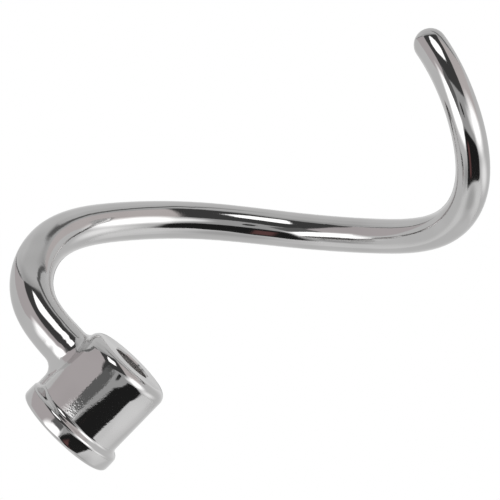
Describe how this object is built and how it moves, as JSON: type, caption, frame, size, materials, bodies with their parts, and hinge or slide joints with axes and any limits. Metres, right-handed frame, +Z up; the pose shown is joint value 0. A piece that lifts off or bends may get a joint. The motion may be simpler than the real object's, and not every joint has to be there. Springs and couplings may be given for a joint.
{
  "type": "stand mixer dough hook",
  "caption": "Polished steel dough hook for a stand mixer: a lipped hub with a bayonet bore for the drive shaft, and a tapering round arm that winds down as a left-hand spiral to a domed tip.",
  "frame": {"origin": "centre of the shaft bore's mouth, on the hub's top face", "axes": "+Z up along the shaft bore, out of its mouth, so the hook hangs down to -Z; +X is the way the arm leaves the hub"},
  "size_m": [0.0972, 0.0888, 0.1695],
  "materials": {
    "polished_steel": "mirror-polished stainless steel with fine polishing marks"
  },
  "bodies": {
    "root": {"dough_hook": "polished_steel"}
  },
  "joints": []
}
